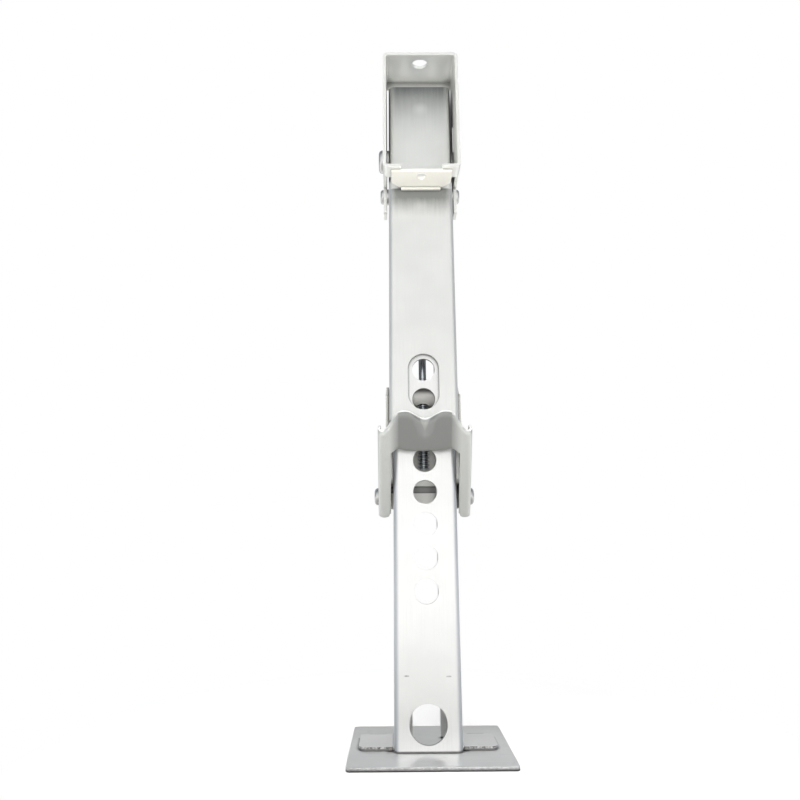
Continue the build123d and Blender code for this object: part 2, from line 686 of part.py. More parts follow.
# Stop plate under the flanges: the channel's face rests against its turned-down lip
stop_half = channel_side - stop_inset
stop_back = channel_front - face_gap
with BuildPart() as stop_plate:
    with BuildSketch(Plane.XY.offset(stop_low)):
        with BuildLine():
            Polyline((-stop_half, stop_front), (stop_half, stop_front), (stop_half, stop_back - stop_corner),
                     (flange_inner, stop_back), (-flange_inner, stop_back),
                     (-stop_half, stop_back - stop_corner), close=True)
        make_face()
        with Locations((0, stop_hole_at)):
            Circle(stop_hole_dia / 2, mode=Mode.SUBTRACT)
    extrude(amount=stop_sheet)
    with BuildSketch(Plane.XZ.offset(-stop_back)):
        with Locations((0, stop_low - stop_lip / 2)):
            Rectangle(2 * flange_inner, stop_lip)
    extrude(amount=stop_sheet)
    fillet(stop_plate.edges().filter_by(Axis.X).filter_by_position(Axis.Y, stop_back - 0.01, stop_back + 0.01)
           .sort_by(Axis.Z)[-1], stop_sheet - 0.5)
save(stop_plate.part, "stop_plate")

# Shim on the right wall that takes up the side play of the channel
with BuildPart() as side_shim:
    with BuildSketch(Plane.YZ.offset(bracket_inner - shim_sheet)):
        with Locations(((shim_front + shim_back) / 2, (shim_low + shim_high) / 2)):
            Rectangle(shim_back - shim_front, shim_high - shim_low)
    extrude(amount=shim_sheet)
save(side_shim.part, "side_shim")
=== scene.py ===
"""Looks of the trailer stabilizer jack: plated steel sheet, turned parts and the studio around them."""
import math

import bmesh
import bpy
from bpy.props import FloatProperty, FloatVectorProperty, PointerProperty
from mathutils import Matrix, Vector


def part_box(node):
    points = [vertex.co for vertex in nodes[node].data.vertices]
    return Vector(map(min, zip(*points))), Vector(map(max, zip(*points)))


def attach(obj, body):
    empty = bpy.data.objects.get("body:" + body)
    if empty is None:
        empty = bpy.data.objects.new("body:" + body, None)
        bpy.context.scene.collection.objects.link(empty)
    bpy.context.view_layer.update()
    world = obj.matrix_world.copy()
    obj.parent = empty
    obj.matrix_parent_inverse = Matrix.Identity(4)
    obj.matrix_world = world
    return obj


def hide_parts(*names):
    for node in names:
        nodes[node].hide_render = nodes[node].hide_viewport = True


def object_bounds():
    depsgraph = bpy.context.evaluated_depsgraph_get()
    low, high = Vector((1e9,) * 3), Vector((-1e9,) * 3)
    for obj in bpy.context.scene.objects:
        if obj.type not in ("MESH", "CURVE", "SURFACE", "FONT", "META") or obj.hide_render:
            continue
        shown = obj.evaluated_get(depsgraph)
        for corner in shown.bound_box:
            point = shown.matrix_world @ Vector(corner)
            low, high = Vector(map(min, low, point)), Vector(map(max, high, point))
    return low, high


bl_info = {
    "name": "Stabilizer Jack",
    "version": (1, 0, 0),
    "blender": (4, 5, 0),
    "location": "View3D > Sidebar > Jack",
    "description": "Builds the finished look of a telescoping stabilizer jack around its packed model",
    "category": "Object",
}

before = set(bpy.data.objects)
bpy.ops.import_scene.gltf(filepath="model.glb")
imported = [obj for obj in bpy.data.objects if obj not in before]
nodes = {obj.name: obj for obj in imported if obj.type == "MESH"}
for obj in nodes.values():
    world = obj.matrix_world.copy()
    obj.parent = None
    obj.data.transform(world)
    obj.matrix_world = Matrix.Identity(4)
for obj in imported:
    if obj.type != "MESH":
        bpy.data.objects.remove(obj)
cad_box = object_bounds()

MM = 0.001

# The colour sockets of a Mix node
MIX_FIRST, MIX_SECOND, MIX_RESULT = 6, 7, 2

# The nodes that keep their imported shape, apart from the travelling nut: the sheets, each with its
# material, then the fasteners, the turned parts and the springs
SHEET_NODES = {
    "inner_leg": "leg_zinc",
    "outer_channel": "channel_zinc",
    "bearing_plate": "channel_zinc",
    "lock_carriage": "carriage_zinc",
    "carriage_strap": "strap_shaded_zinc",
    "mounting_bracket": "bracket_zinc",
    "stop_plate": "stop_cream",
}
FASTENER_NODES = (
    "thrust_washer", "nut_bolt", "nut_bolt_washer", "side_shim",
    "lever_rivet_left", "lever_rivet_right", "lever_spacer_left", "lever_spacer_right",
    "pivot_rivet_left", "pivot_rivet_right", "pivot_washer_left", "pivot_washer_right",
    "guide_rivet_left", "guide_rivet_right", "guide_washer_left", "guide_washer_right",
)
TURNED_NODES = ("screw_collar", "collar_pin", "latch_dog")
SPRING_NODES = ("lever_spring_left", "lever_spring_right")


# Properties

def colour(name, text, value):
    return FloatVectorProperty(name=name, description=text, default=value, size=3, subtype="COLOR",
                               min=0.0, max=1.0)


def length(name, text, value):
    return FloatProperty(name=name, description=text, default=value, subtype="DISTANCE", unit="LENGTH")


def angle(name, text, value):
    return FloatProperty(name=name, description=text, default=value, subtype="ANGLE", unit="ROTATION")


def share(name, text, value):
    return FloatProperty(name=name, description=text, default=value, subtype="FACTOR", min=0.0, max=1.0)


class JackFinish(bpy.types.PropertyGroup):
    """Colours and gloss of the plated steel"""
    leg: colour("Leg", "Plating on the inner leg", (0.885, 0.885, 0.87))
    channel: colour("Channel", "Plating on the outer channel and its bearing plate", (0.85, 0.855, 0.83))
    carriage: colour("Carriage", "Plating on the carriage and, darker, on its strap", (0.93, 0.925, 0.885))
    lever: colour("Lever", "Plating on the latch lever", (0.73, 0.74, 0.71))
    bracket: colour("Bracket", "Plating on the mounting bracket", (0.88, 0.885, 0.85))
    stop: colour("Stop plate", "Cream plating on the stop plate", (0.83, 0.81, 0.735))
    plate: colour("Foot plate", "Plating on the foot plate", (0.85, 0.85, 0.845))
    fastener: colour("Fasteners", "Plating on rivets, washers and the bolt", (0.82, 0.82, 0.81))
    turned: colour("Turned parts", "Plating on the nut, dog, collar, pin and springs", (0.80, 0.79, 0.75))
    screw: colour("Screw", "Plating on the adjusting screw", (0.78, 0.82, 0.86))
    weld: colour("Weld", "Weld beads and tack welds", (0.40, 0.39, 0.37))
    metal: share("Metal", "How metallic the plating is", 0.8)
    roughness: share("Roughness", "Roughness of the sheet", 0.34)
    streak: share("Rolling marks", "How much the rolling marks change the roughness", 0.10)
    lines: share("Rolled lines", "How dark the fine rolled lines are", 0.07)
    mottle: share("Mottle", "How much the plating's tone wanders", 0.07)


class JackScrew(bpy.types.PropertyGroup):
    """Thread and head of the adjusting screw"""
    pitch: length("Pitch", "Pitch of the thread", 3.0 * MM)
    depth: length("Thread depth", "Depth of the thread", 1.5 * MM)
    threaded: length("Threaded length", "Length of the thread from the screw's end", 78.5 * MM)
    outer: length("Outer radius", "Radius over the thread", 5.0 * MM)
    shank: length("Shank radius", "Radius of the plain shank", 3.2 * MM)
    head: length("Head height", "Height of the hexagon head", 16.0 * MM)
    end_round: length("End round", "Radius at the screw's end", 3.2 * MM)


class JackPlate(bpy.types.PropertyGroup):
    """Edges of the foot plate, and the weld beads and tack welds on it"""
    edge: length("Edge round", "Rounding of the sheared edges", 0.15 * MM)
    chip: length("Corner chip", "How far the worn front corners are broken back", 2.6 * MM)
    ripple: length("Weld ripple", "Height of the weld beads' ripples", 0.35 * MM)
    tack_side: length("Tack side", "From the middle to each tack weld in front of the tabs", 28.0 * MM)
    tack_front: length("Tack front", "Depth of the tack welds", -13.3 * MM)
    weld_length: length("Weld length", "Length of each weld bead", 17.0 * MM)
    ripple_pitch: length("Ripple pitch", "Distance from one weld ripple to the next", 2.2 * MM)


class JackLever(bpy.types.PropertyGroup):
    """Sizes of the pressed latch lever, along its lean from its pivot and across it"""
    lean: angle("Lean", "How far the lever leans towards the viewer", math.radians(27))
    pivot: length("Pivot height", "Height of the lever's pivot", 190.0 * MM)
    sheet: length("Sheet", "Thickness of the sheet", 2.3 * MM)
    rim: length("Rim round", "Rounding of the sheet's cut edges", 1.0 * MM)
    half: length("Half width", "Half width over the arms", 37.5 * MM)
    arm: length("Arm", "Half width at the inner edge of the arms", 28.7 * MM)
    wall: length("Wall", "Half width of the flat wall", 21.7 * MM)
    wall_depth: length("Wall depth", "Depth of the wall's middle", -6.8 * MM)
    arm_depth: length("Arm depth", "Depth of the arms' fronts", -12.0 * MM)
    boss: length("Boss", "Radius of the arms round the pivot", 13.0 * MM)
    bead: length("Bead", "Depth of the pressed bead at the dip", 3.4 * MM)
    curl: length("Curl", "How far the top edge curls back", 1.7 * MM)
    curl_width: length("Curl width", "Width of the curled top edge", 3.2 * MM)
    bore: length("Bore", "Radius of the rivet holes", 4.05 * MM)


class JackView(bpy.types.PropertyGroup):
    """Camera, lamps and background"""
    place: FloatVectorProperty(name="Camera place", description="Where the camera stands", size=3,
                               default=(-22.1 * MM, -513.9 * MM, 151.9 * MM), subtype="XYZ", unit="LENGTH")
    tilt: angle("Tilt", "Upward tilt of the camera", 0.230)
    turn: angle("Turn", "Turn of the camera to the right", 0.005)
    roll: angle("Roll", "Roll of the camera", -0.006)
    lens: FloatProperty(name="Lens", description="Focal length in millimetres", default=27.64)
    lamp: FloatProperty(name="Lamps", description="Strength of the lamps", default=1.0)
    ambient: FloatProperty(name="Surroundings", description="Light from all round", default=0.62)
    mirrored: FloatProperty(name="Mirrored", description="Strength of what the metal mirrors", default=0.93)


# Materials

def add_node(tree, kind, **settings):
    node = tree.nodes.new(kind)
    for key, value in settings.items():
        setattr(node, key, value)
    return node


def mix_shaders(tree, factor, first, second):
    """The first node's shader where the factor is 0, the second one's where it is 1."""
    mix = add_node(tree, "ShaderNodeMixShader")
    tree.links.new(factor, mix.inputs["Fac"])
    tree.links.new(first.outputs[0], mix.inputs[1])
    tree.links.new(second.outputs[0], mix.inputs[2])
    return mix


def shaded(tone, amount):
    return tuple(channel * (1.0 - amount) for channel in tone)


class Shading:
    """A material under construction: its node tree, its shader and a few shortcuts.

    past, short_of, distance_from, sheltered and bump take their lengths in millimetres."""

    def __init__(self, name):
        self.name = name
        self.material = bpy.data.materials.new(name)
        self.material.use_nodes = True
        self.tree = self.material.node_tree
        self.shader = self.tree.nodes["Principled BSDF"]
        self.place = self.add("ShaderNodeTexCoord").outputs["Object"]

    def add(self, kind, **settings):
        return add_node(self.tree, kind, **settings)

    def link(self, source, target):
        self.tree.links.new(source, target)

    def fill(self, socket, value):
        """Gives a socket the value of another socket, or a plain value."""
        if isinstance(value, bpy.types.NodeSocket):
            self.link(value, socket)
        else:
            socket.default_value = value

    def noise(self, scale, detail=3.0, rough=0.55, stretch=(1, 1, 1)):
        mapping = self.add("ShaderNodeMapping")
        mapping.inputs["Scale"].default_value = stretch
        self.link(self.place, mapping.inputs["Vector"])
        texture = self.add("ShaderNodeTexNoise")
        texture.inputs["Scale"].default_value = scale
        texture.inputs["Detail"].default_value = detail
        texture.inputs["Roughness"].default_value = rough
        self.link(mapping.outputs["Vector"], texture.inputs["Vector"])
        return texture.outputs["Fac"]

    def between(self, value, low, high, start=0.0, end=1.0):
        """Maps a value that runs from start to end onto low to high."""
        node = self.add("ShaderNodeMapRange")
        for key, number in (("From Min", start), ("From Max", end), ("To Min", low), ("To Max", high)):
            node.inputs[key].default_value = number
        self.link(value, node.inputs["Value"])
        return node.outputs["Result"]

    def rise(self, value, start, end):
        """0 at start, 1 at end."""
        return self.between(value, 0.0, 1.0, start, end)

    def fall(self, value, start, end):
        """1 at start, 0 at end."""
        return self.between(value, 1.0, 0.0, start, end)

    def past(self, place, start, end):
        """0 up to the place start, 1 from the place end on."""
        return self.rise(place, start * MM, end * MM)

    def short_of(self, place, start, end):
        """1 up to the place start, 0 from the place end on."""
        return self.fall(place, start * MM, end * MM)

    def blend(self, factor, first, second):
        """The first tone where the factor is 0, the second where it is 1."""
        node = self.add("ShaderNodeMix", data_type="RGBA")
        self.link(factor, node.inputs["Factor"])
        for number, tone in ((MIX_FIRST, first), (MIX_SECOND, second)):
            self.fill(node.inputs[number], tone if isinstance(tone, bpy.types.NodeSocket) else (*tone, 1.0))
        return node.outputs[MIX_RESULT]

    def along(self, vector, axis):
        split = self.add("ShaderNodeSeparateXYZ")
        self.link(vector, split.inputs["Vector"])
        return split.outputs[axis]

    def place_along(self, axis):
        """The object's own X, Y or Z at the point that is shaded."""
        return self.along(self.place, axis)

    def facing_along(self, axis):
        """How far the surface looks along the object's own X, Y or Z."""
        return self.along(self.add("ShaderNodeTexCoord").outputs["Normal"], axis)

    def across(self):
        """The distance from the object's middle, to either side."""
        return self.math("ABSOLUTE", self.place_along("X"))

    def distance_from(self, point):
        node = self.add("ShaderNodeVectorMath", operation="DISTANCE")
        self.link(self.place, node.inputs[0])
        node.inputs[1].default_value = [number * MM for number in point]
        return node.outputs["Value"]

    def sheltered(self, reach, low, high):
        """1 in corners and under edges within reach, falling to 0 in the open."""
        shelter = self.add("ShaderNodeAmbientOcclusion", samples=8)
        shelter.inputs["Distance"].default_value = reach * MM
        return self.fall(shelter.outputs["AO"], low, high)

    def math(self, operation, first, second=0.5):
        node = self.add("ShaderNodeMath", operation=operation)
        self.fill(node.inputs[0], first)
        self.fill(node.inputs[1], second)
        return node.outputs[0]

    def product(self, first, *others):
        for other in others:
            first = self.math("MULTIPLY", first, other)
        return first

    def bump(self, height, distance, strength):
        node = self.add("ShaderNodeBump")
        node.inputs["Strength"].default_value = strength
        node.inputs["Distance"].default_value = distance * MM
        self.link(height, node.inputs["Height"])
        self.link(node.outputs["Normal"], self.shader.inputs["Normal"])


class Metal(Shading):
    """A metal under construction: a tone, and further tones laid over it."""

    def __init__(self, name, tone, metal):
        super().__init__(name)
        self.plain = tone
        self.tone = tone
        self.shader.inputs["Metallic"].default_value = metal

    def lay(self, factor, tone):
        """Lays a tone over those that are there, as far as the factor says."""
        self.tone = self.blend(factor, self.tone, tone)
        return self

    def surface(self, roughness, grain, height, strength):
        """Gives the shader the tone, a roughness and the grain as a bump of some height and strength."""
        self.link(self.tone, self.shader.inputs["Base Color"])
        self.fill(self.shader.inputs["Roughness"], roughness)
        self.bump(grain, height, strength)
        return self.material


class RolledZinc(Metal):
    """Plated sheet: rolling marks along the grain and a wandering tone, with worn patches if wear is set.

    Each of the marks that a method lays, painted light and shade among them, covers those before it. Lengths
    are in millimetres."""
    # scales of the noise: rolling marks, wandering tone, worn patches, specks and ragged edges of the
    # painted shade bands
    ROLLED, CLOUDS, PATCHES, SPECKS, RAGS = 900.0, 22.0, 95.0, 600.0, 420.0
    FEATHER = 0.5
    NICK_HALF_WIDTH = 2.4
    NICK_HALF_HEIGHT = 0.7
    # the tone of the painted shade bands, and the depth of the front they lie on
    PAINTED_SHADE_TONE = (0.06, 0.073, 0.078)
    BAND_FRONT = -22.0
    # how far the ragged edge of a painted shade band strays, and how far it looks for a piece that stands
    # over it
    BAND_STRAY = 1.3
    BAND_ROOF = 60.0

    def __init__(self, name, tone, finish, grain=(1, 1, 0.03), rough=0.0, wear=0.0, metal=None):
        super().__init__(name, tone, finish.metal if metal is None else metal)
        self.marks = self.noise(self.ROLLED, detail=4.0, stretch=grain)
        self.streak = finish.streak
        self.roughness = finish.roughness + rough - self.streak / 2
        self.lay(self.fall(self.noise(self.CLOUDS, detail=2.0), 0.35, 0.65), shaded(tone, finish.mottle))
        if wear:
            patches = self.noise(self.PATCHES, detail=5.0, rough=0.65)
            self.lay(self.rise(patches, 0.60, 0.72), shaded(tone, wear))
        self.lay(self.between(self.marks, 0.0, 0.7, 0.45, 0.75), shaded(tone, finish.lines))

    def painted_middle_shade(self, inner, outer, tone):
        """Painted shade on the middle that fades out between two distances from it."""
        return self.lay(self.short_of(self.across(), inner, outer), tone)

    def painted_front_shade(self, front, back, tone):
        """Painted shade in front that fades out between two depths."""
        return self.lay(self.short_of(self.place_along("Y"), front, back), tone)

    def painted_vee_light(self, low, high, half, tone):
        """Painted light in a V between two heights, on the lit facets of a bead, half of whose width at the
        top is given.
        """
        height = self.past(self.place_along("Z"), low, high)
        off = self.product(self.across(), 1 / (half * MM))
        inside = self.rise(self.math("SUBTRACT", height, off), 0.0, 0.10)
        return self.lay(self.product(inside, self.rise(height, 0.0, 0.7)), tone)

    def faces(self, axis, least, most, tone, metal=None):
        """Painted light and shade, and a share of metal, of their own for the faces that look along an axis.
        """
        turned = self.rise(self.facing_along(axis), least, most)
        if metal is not None:
            metallic = self.shader.inputs["Metallic"]
            self.link(self.between(turned, metallic.default_value, metal), metallic)
        return self.lay(turned, tone)

    def painted_fold_reflection(self, tone):
        """Painted reflection on the rounded folds, which look neither ahead nor straight to a side: a darker
        bluish tone.
        """
        turn = self.math("ABSOLUTE", self.facing_along("X"))
        return self.lay(self.product(self.rise(turn, 0.15, 0.6), self.fall(turn, 0.93, 0.99)), tone)

    def nick(self, x, z):
        """A small dark mark in front, broken up by the rolling marks."""
        squares = []
        for axis, middle, half in (("X", x, self.NICK_HALF_WIDTH), ("Z", z, self.NICK_HALF_HEIGHT)):
            off = self.product(self.math("SUBTRACT", self.place_along(axis), middle * MM), 1 / (half * MM))
            squares.append(self.math("POWER", self.math("ABSOLUTE", off), 2.0))
        inside = self.between(self.math("ADD", *squares), 0.9, 0.0, 0.2, 1.0)
        return self.lay(self.product(inside, self.between(self.marks, 0.5, 1.0, 0.4, 0.6)),
                        shaded(self.plain, 0.7))

    def darker_bottom(self, height, tone):
        """A darker tone from the ground up to a height."""
        return self.lay(self.short_of(self.place_along("Z"), height, height + self.FEATHER), tone)

    def painted_hole_wall_shade(self, front, back, half, tone):
        """Painted shade on the cut walls of the holes: from the front to the back of the web, near the
        middle.
        """
        depth = self.place_along("Y")
        return self.lay(self.product(self.past(depth, front, front + 0.2),
                                     self.short_of(depth, back, back + self.FEATHER),
                                     self.short_of(self.across(), half, half + self.FEATHER)), tone)

    def painted_edge_shade(self, half, tone):
        """Painted shade, speckled, on the faces that look ahead, beyond a distance from the middle."""
        front = self.rise(self.facing_along("Y"), -0.5, -0.9)
        outside = self.past(self.across(), half, half + 0.4)
        specks = self.between(self.noise(self.SPECKS), 0.25, 1.0, 0.40, 0.60)
        return self.lay(self.product(front, outside, specks), tone)

    def corners(self, reach=3.0, low=0.45, high=0.85, left=0.35):
        """Painted shade in corners and under edges: its reach, how open the darkest and the lightest are,
        and what tone is left.
        """
        return self.lay(self.sheltered(reach, low, high), shaded(self.plain, 1.0 - left))

    def painted_shade_bands(self, *bands):
        """Bands of painted shade on the front, only where another piece stands over it.

        Each has the height where it starts, where it is full and where it ends, how dark it gets, the
        power by which it sets in, and the height of a painted spot of light in it that stays bright."""
        roofed = self.sheltered(self.BAND_ROOF, 0.86, 0.985)
        for start, full, end, amount, power, lit_spot in bands:
            ragged = self.between(self.noise(self.RAGS, stretch=(1, 1, 0.08)),
                                  -self.BAND_STRAY * MM, self.BAND_STRAY * MM, 0.3, 0.7)
            height = self.math("ADD", self.place_along("Z"), ragged)
            # a painted spot of light, where light through a hole falls, stays bright in the band
            from_spot = self.distance_from((0.5, self.BAND_FRONT, lit_spot))
            band = self.product(
                self.math("POWER", self.past(height, start, full), power),
                roofed,
                self.short_of(self.place_along("Z"), end, end + self.FEATHER),
                self.short_of(self.place_along("Y"), self.BAND_FRONT + 0.5, self.BAND_FRONT + 3.0),
                self.between(self.across(), 1.0, 0.35, 22.0 * MM, 28.0 * MM),
                self.between(from_spot, 0.62, 1.0, 1.5 * MM, 8.0 * MM),
                amount)
            self.lay(band, self.PAINTED_SHADE_TONE)
        return self

    def done(self):
        roughness = self.between(self.marks, self.roughness, self.roughness + self.streak, 0.3, 0.7)
        return self.surface(roughness, self.marks, 0.03, 0.35)


def turned_steel(name, tone, finish, rough=-0.08, metal=1.0, hollow_shade_left=1.0, shaded_heights=None):
    """Plated turned parts with a fine even grain.

    hollow_shade_left is the tone that is left where shade is painted into hollows, and shaded_heights the
    heights between which painted shade turns it dark."""
    look = Metal(name, tone, metal)
    grain = look.noise(1400.0, detail=2.0)
    look.tone = look.blend(look.noise(120.0, detail=3.0), shaded(tone, 2 * finish.mottle), tone)
    # painted shade in hollows
    look.lay(look.sheltered(1.6, 0.45, 0.95), shaded(tone, 1.0 - hollow_shade_left))
    if shaded_heights:
        # painted shade over the upper part
        look.lay(look.past(look.place_along("Z"), *shaded_heights), shaded(tone, 0.85))
    low = finish.roughness + rough
    return look.surface(look.between(grain, low, low + finish.streak), grain, 0.02, 0.3)


def weld_metal(name, tone, finish):
    """Dull plated weld with spatter grain."""
    look = Metal(name, tone, finish.metal)
    grain = look.noise(700.0, detail=4.0, rough=0.7)
    look.tone = look.blend(grain, shaded(tone, 0.4), tone)
    return look.surface(0.6, grain, 0.12, 0.6)


# Mesh helpers

def new_piece(name, mesh_data, body, slot, material, *replaced):
    """Makes an object of a bmesh, gives it its material and hands it to the frame."""
    mesh = bpy.data.meshes.new(name)
    mesh_data.to_mesh(mesh)
    mesh_data.free()
    piece = bpy.data.objects.new(name, mesh)
    bpy.context.scene.collection.objects.link(piece)
    piece.data.materials.append(material)
    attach(piece, body)
    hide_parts(*replaced)
    return piece


def finish_mesh(piece, smooth_angle=math.radians(32)):
    """Shades a piece smooth but keeps its sharp edges."""
    for polygon in piece.data.polygons:
        polygon.use_smooth = True
    piece.data.set_sharp_from_angle(angle=smooth_angle)


def apply_modifiers(piece):
    depsgraph = bpy.context.evaluated_depsgraph_get()
    mesh = bpy.data.meshes.new_from_object(piece.evaluated_get(depsgraph))
    piece.modifiers.clear()
    piece.data = mesh


def bevel(piece, width):
    """Rounds a piece's sharp edges."""
    modifier = piece.modifiers.new("edges", "BEVEL")
    modifier.width = width
    modifier.segments = 2
    modifier.limit_method = "ANGLE"
    modifier.angle_limit = math.radians(40)
    apply_modifiers(piece)


def paint(node_name, material):
    """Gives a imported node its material."""
    node = nodes[node_name]
    node.data.materials.clear()
    node.data.materials.append(material)


def rings_to_skin(mesh_data, rings):
    """Joins closed rings of points, each as long as the next, and caps both ends."""
    made = [[mesh_data.verts.new(point) for point in ring] for ring in rings]
    for lower, upper in zip(made, made[1:]):
        for k in range(len(lower)):
            after = (k + 1) % len(lower)
            mesh_data.faces.new((lower[k], lower[after], upper[after], upper[k]))
    mesh_data.faces.new(list(reversed(made[0])))
    mesh_data.faces.new(made[-1])


def rounded_path(points, radii, steps=9):
    """Points of a line through corners that are rounded off by arcs."""
    path = [Vector(points[0])]
    for before, corner, after, radius in zip(points, points[1:], points[2:], radii):
        corner = Vector(corner)
        back = (Vector(before) - corner).normalized()
        ahead = (Vector(after) - corner).normalized()
        opening = back.angle(ahead)
        middle = corner + (back + ahead).normalized() * radius / math.sin(opening / 2)
        reach = radius / math.tan(opening / 2)
        first = corner + back * reach - middle
        last = corner + ahead * reach - middle
        turn = first.angle(last)
        for step in range(steps + 1):
            share_here = step / steps
            path.append(middle + (first * math.sin((1 - share_here) * turn)
                                  + last * math.sin(share_here * turn)) / math.sin(turn))
    path.append(Vector(points[-1]))
    return path


def closer(path, gap):
    """The same line with points at most a gap apart."""
    dense = [path[0]]
    for start, end in zip(path, path[1:]):
        parts = max(1, math.ceil((end - start).length / gap))
        dense.extend(start.lerp(end, part / parts) for part in range(1, parts + 1))
    return dense


def wave(knots, at):
    """A smooth line through knots of place, height and slope."""
    for (x0, y0, m0), (x1, y1, m1) in zip(knots, knots[1:]):
        if at <= x1:
            run = x1 - x0
            t = (at - x0) / run
            return ((2 * t ** 3 - 3 * t ** 2 + 1) * y0 + (t ** 3 - 2 * t ** 2 + t) * run * m0
                    + (3 * t ** 2 - 2 * t ** 3) * y1 + (t ** 3 - t ** 2) * run * m1)
    return knots[-1][1]


# Operators

class JACK_OT_sheet_steel(bpy.types.Operator):
    """Gives the folded and pressed sheet parts their plating, with painted light and shade"""
    bl_idname = "jack.sheet_steel"
    bl_label = "Sheet Steel"

    def execute(self, context):
        # corners() lays painted shade in corners and under edges on each sheet
        finish = context.scene.jack_finish
        # painted reflection on the leg's rounded folds
        leg = RolledZinc("leg_zinc", finish.leg, finish)
        # a near-black tone over the leg's bottom 3.8 mm
        leg.painted_fold_reflection((0.56, 0.58, 0.61)).nick(-16.0, 55.4).nick(15.7, 55.0).darker_bottom(3.8, (0.10, 0.10, 0.09))
        # painted shade on the walls of the leg's holes
        leg.painted_hole_wall_shade(-18.95, -12.0, 16.0, shaded(finish.leg, 0.55))
        # painted shade on the front faces of the leg's tabs, and in the leg's corners
        leg.painted_edge_shade(26.0, (0.12, 0.12, 0.11)).corners()
        channel = RolledZinc("channel_zinc", finish.channel, finish)
        channel.corners(5.0, 0.40, 0.80, 0.30)
        # painted shade on the channel under the bracket's web and under the stop plate, each with a painted
        # spot of light
        channel.painted_shade_bands((506.0, 570.0, 572.0, 0.90, 1.6, 543.0),
                           (433.0, 452.0, 461.0, 0.72, 1.15, 443.0))
        carriage = RolledZinc("carriage_zinc", finish.carriage, finish, rough=0.05, metal=0.3)
        # painted shade on the carriage's front edges, and in its corners
        carriage.painted_front_shade(-16.0, -4.0, shaded(finish.carriage, 0.50)).corners(5.0, 0.55, 0.92, 0.10)
        bracket = RolledZinc("bracket_zinc", finish.bracket, finish, grain=(1, 1, 0.1), metal=0.6)
        # painted shade on the bracket's front-facing faces, and in its corners
        bracket.faces("Y", -0.85, -0.97, shaded(finish.bracket, 0.14)).corners(9.0, 0.30, 0.75, 0.40)
        # painted shade: the strap is a darker copy of the carriage's plating
        strap = RolledZinc("strap_shaded_zinc", shaded(finish.carriage, 0.68), finish, metal=0.3).corners()
        stop = RolledZinc("stop_cream", finish.stop, finish, grain=(1, 1, 1), metal=0.1).corners()
        looks = {look.name: look.done() for look in (leg, channel, carriage, bracket, strap, stop)}
        for node_name, look in SHEET_NODES.items():
            paint(node_name, looks[look])
        return {"FINISHED"}


class JACK_OT_foot_plate(bpy.types.Operator):
    """Builds the sheared foot plate with its worn front corners"""
    bl_idname = "jack.foot_plate"
    bl_label = "Foot Plate"

    def execute(self, context):
        finish = context.scene.jack_finish
        sizes = context.scene.jack_plate
        low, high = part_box("foot_plate")
        chip = sizes.chip
        corner = chip / 2
        outline = [
            (low.x + chip, low.y), (low.x + 0.7 * chip, low.y + 0.2 * chip),
            (low.x + 0.35 * chip, low.y + 0.3 * chip), (low.x + 0.2 * chip, low.y + 0.75 * chip),
            (low.x, low.y + 1.1 * chip), (low.x, high.y - corner), (low.x + corner, high.y),
            (high.x - corner, high.y), (high.x, high.y - corner), (high.x, low.y + 0.7 * chip),
            (high.x - 0.3 * chip, low.y + 0.35 * chip), (high.x - 0.75 * chip, low.y),
        ]
        mesh_data = bmesh.new()
        rings_to_skin(mesh_data, [[(x, y, z) for x, y in reversed(outline)] for z in (low.z, high.z)])
        bmesh.ops.recalc_face_normals(mesh_data, faces=mesh_data.faces)
        look = RolledZinc("plate_zinc", finish.plate, finish, grain=(0.05, 1, 1), wear=0.1)
        # painted shade on the foot plate's front faces, and in its corners
        look.painted_edge_shade(0.0, shaded(finish.plate, 0.32)).corners(3.0, 0.60, 0.95, 0.08)
        plate = new_piece("sheared_foot_plate", mesh_data, "leg", "plate_zinc", look.done(), "foot_plate")
        bevel(plate, sizes.edge)
        finish_mesh(plate)
        return {"FINISHED"}


class JACK_OT_foot_welds(bpy.types.Operator):
    """Builds the rippled weld beads behind the leg's tabs and the tack welds in front of them"""
    bl_idname = "jack.foot_welds"
    bl_label = "Foot Welds"

    STEPS = 60
    AROUND = 10
    # the share of its full size that a bead has at its ends, and how fast it gains the rest
    END_SHARE = 0.25
    END_GAIN = 6.0
    TACK = (2.0 * MM, 1.3 * MM, 1.3 * MM)

    def execute(self, context):
        finish = context.scene.jack_finish
        sizes = context.scene.jack_plate
        low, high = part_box("foot_welds")
        mesh_data = bmesh.new()
        for side in (-1, 1):
            rings_to_skin(mesh_data, [self.ring(sizes, low, high, side, step)
                                      for step in range(self.STEPS + 1)])
            place = Matrix.Translation((side * sizes.tack_side, sizes.tack_front, low.z + self.TACK[2]))
            bmesh.ops.create_icosphere(mesh_data, subdivisions=3, radius=1.0,
                                       matrix=place @ Matrix.Diagonal((*self.TACK, 1.0)))
        bmesh.ops.recalc_face_normals(mesh_data, faces=mesh_data.faces)
        beads = new_piece("weld_beads", mesh_data, "leg", "weld_zinc",
                          weld_metal("weld_zinc", finish.weld, finish), "foot_welds")
        finish_mesh(beads)
        return {"FINISHED"}

    def ring(self, sizes, low, high, side, step):
        """A quarter of an ellipse in the corner between the tab and the plate, larger on a ripple."""
        inner = high.x - sizes.weld_length
        along = inner + (high.x - inner) * step / self.STEPS
        full = min(1.0, self.END_GAIN * min(step, self.STEPS - step) / self.STEPS + self.END_SHARE)
        ripple = sizes.ripple / (high.y - low.y) * abs(math.sin(math.pi * along / sizes.ripple_pitch))
        swell = min(full + ripple, 1.0)
        reach_y = (high.y - low.y) * swell
        reach_z = (high.z - low.z) * swell
        ring = [(side * along, low.y, low.z)]
        for k in range(self.AROUND):
            turn = math.pi / 2 * k / (self.AROUND - 1)
            ring.append((side * along, low.y + reach_y * math.cos(turn), low.z + reach_z * math.sin(turn)))
        return ring


